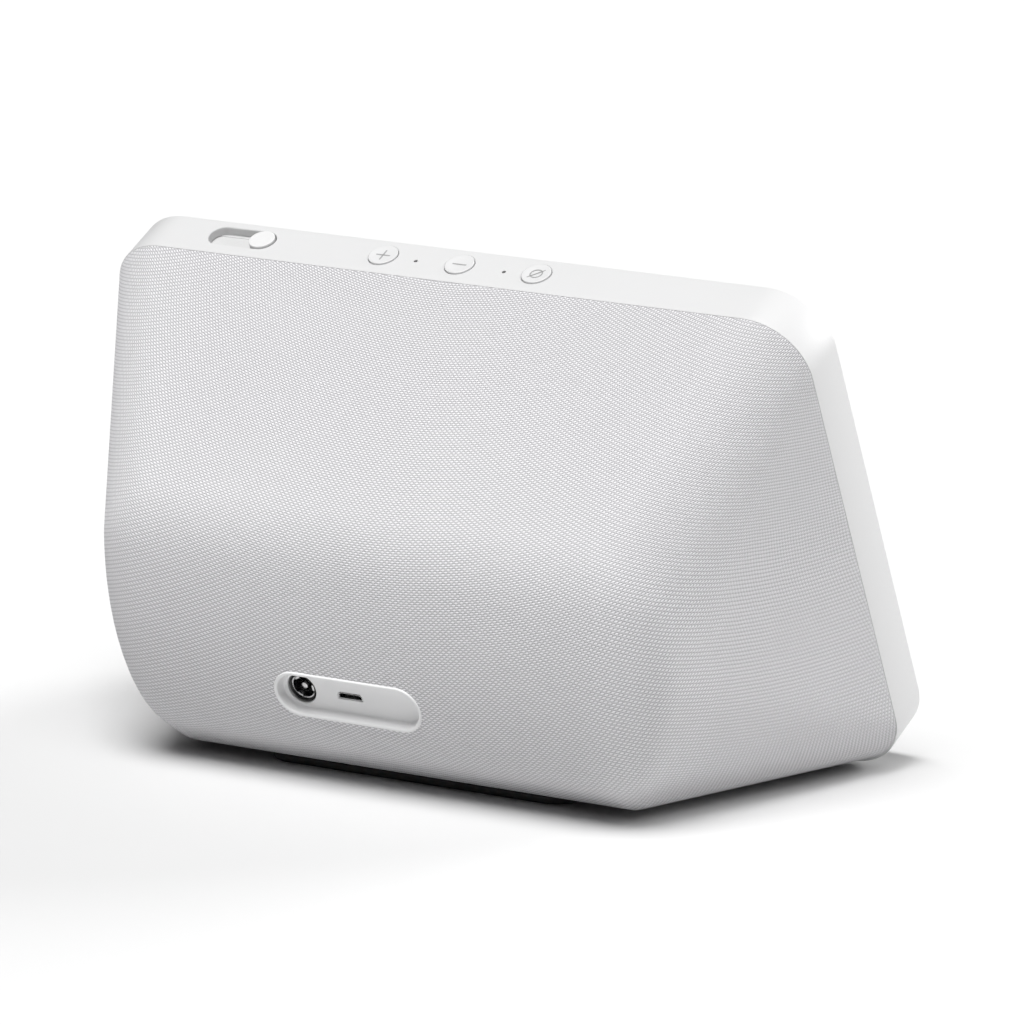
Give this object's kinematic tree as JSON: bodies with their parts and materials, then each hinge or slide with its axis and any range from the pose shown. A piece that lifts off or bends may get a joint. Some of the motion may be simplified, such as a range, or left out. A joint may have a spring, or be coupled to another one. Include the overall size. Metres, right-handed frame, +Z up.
{
  "type": "smart speaker",
  "caption": "Table-top smart speaker with a tilted front display, a fabric-covered back, top keys, a sliding camera shutter and a rear port recess.",
  "frame": {"origin": "under the middle of the object, on the surface that its foot rests on", "axes": "+X to the left seen from behind (towards the camera slider), +Y to the back, +Z up; the display faces -Y"},
  "size_m": [0.2004, 0.1109, 0.1301],
  "materials": {
    "fabric": "woven, matt, light grey",
    "shell_plastic": "moulded, light grey",
    "white_plastic": "satin white, finely textured",
    "black_glass": "polished glass over a black border",
    "black_foam": "adhesive foam",
    "panel_black": "display module",
    "steel": "plain sheet",
    "basket_steel": "black stamped steel",
    "aluminium": "plain sheet",
    "flex_amber": "flexible circuit film",
    "dark_lens": "clear lens over black",
    "charcoal": "moulded",
    "board_green": "circuit board with solder mask",
    "black_rubber": "soft, matt",
    "port_gloss": "glossy light grey",
    "black_plastic": "semi-gloss",
    "pin_metal": "nickel plated",
    "cone_paper": "black coated paper",
    "foot_rubber": "matt, finely textured"
  },
  "bodies": {
    "speaker_case": {"fabric_sleeve": "fabric", "rear_shell": "shell_plastic", "front_frame": "white_plastic", "front_glass": "black_glass", "display_adhesive": "black_foam", "display_panel": "panel_black", "chassis_plate": "steel", "display_cable": "flex_amber", "light_sensor": "dark_lens", "camera_module": "charcoal", "camera_lens": "dark_lens", "key_board": "board_green", "key_bracket": "charcoal", "mic_seal_1": "black_rubber", "mic_seal_2": "black_rubber", "heat_spreader": "aluminium", "main_board": "board_green", "shield_can": "steel", "antenna_left": "board_green", "antenna_right": "board_green", "port_bezel": "port_gloss", "dc_jack": "black_plastic", "dc_pin": "pin_metal", "usb_socket": "pin_metal", "port_board": "board_green", "speaker_box": "charcoal", "speaker_baffle": "charcoal", "radiator_surround": "black_rubber", "rubber_foot": "foot_rubber", "base_plate": "charcoal", "switch_plus": "steel", "switch_minus": "steel", "switch_mute": "steel", "driver_basket_left": "basket_steel", "driver_magnet_left": "steel", "driver_surround_left": "black_rubber", "driver_basket_right": "basket_steel", "driver_magnet_right": "steel", "driver_surround_right": "black_rubber", "case_screw_1": "steel", "case_screw_2": "steel", "case_screw_3": "steel", "case_screw_4": "steel", "case_screw_5": "steel", "case_screw_6": "steel"},
    "shutter": {"shutter_slider": "white_plastic"},
    "plus_key": {"button_plus": "white_plastic", "plunger_plus": "black_plastic"},
    "minus_key": {"button_minus": "white_plastic", "plunger_minus": "black_plastic"},
    "mute_key": {"button_mute": "white_plastic", "plunger_mute": "black_plastic"},
    "left_cone": {"driver_cone_left": "cone_paper"},
    "right_cone": {"driver_cone_right": "cone_paper"},
    "radiator": {"radiator_plate": "steel"}
  },
  "joints": [
    {"name": "camera_shutter_slide", "type": "slide", "parent": "speaker_case", "child": "shutter", "axis": [1, 0, 0], "range_m": [0, 0.012]},
    {"name": "plus_press", "type": "slide", "parent": "speaker_case", "child": "plus_key", "axis": [0, -0.4226, -0.9063], "range_m": [0, 0.0006], "stiffness_N_per_m": 1500, "springref_m": -0.0002},
    {"name": "minus_press", "type": "slide", "parent": "speaker_case", "child": "minus_key", "axis": [0, -0.4226, -0.9063], "range_m": [0, 0.0006], "stiffness_N_per_m": 1500, "springref_m": -0.0002},
    {"name": "mute_press", "type": "slide", "parent": "speaker_case", "child": "mute_key", "axis": [0, -0.4226, -0.9063], "range_m": [0, 0.0006], "stiffness_N_per_m": 1500, "springref_m": -0.0002},
    {"name": "left_cone_travel", "type": "slide", "parent": "speaker_case", "child": "left_cone", "axis": [0, 0.81, 0.5864], "range_m": [-0.0015, 0.0015], "stiffness_N_per_m": 1500},
    {"name": "right_cone_travel", "type": "slide", "parent": "speaker_case", "child": "right_cone", "axis": [0, 0.81, 0.5864], "range_m": [-0.0015, 0.0015], "stiffness_N_per_m": 1500},
    {"name": "radiator_travel", "type": "slide", "parent": "speaker_case", "child": "radiator", "axis": [0, 0.81, 0.5864], "range_m": [-0.0015, 0.0015], "stiffness_N_per_m": 1500}
  ]
}
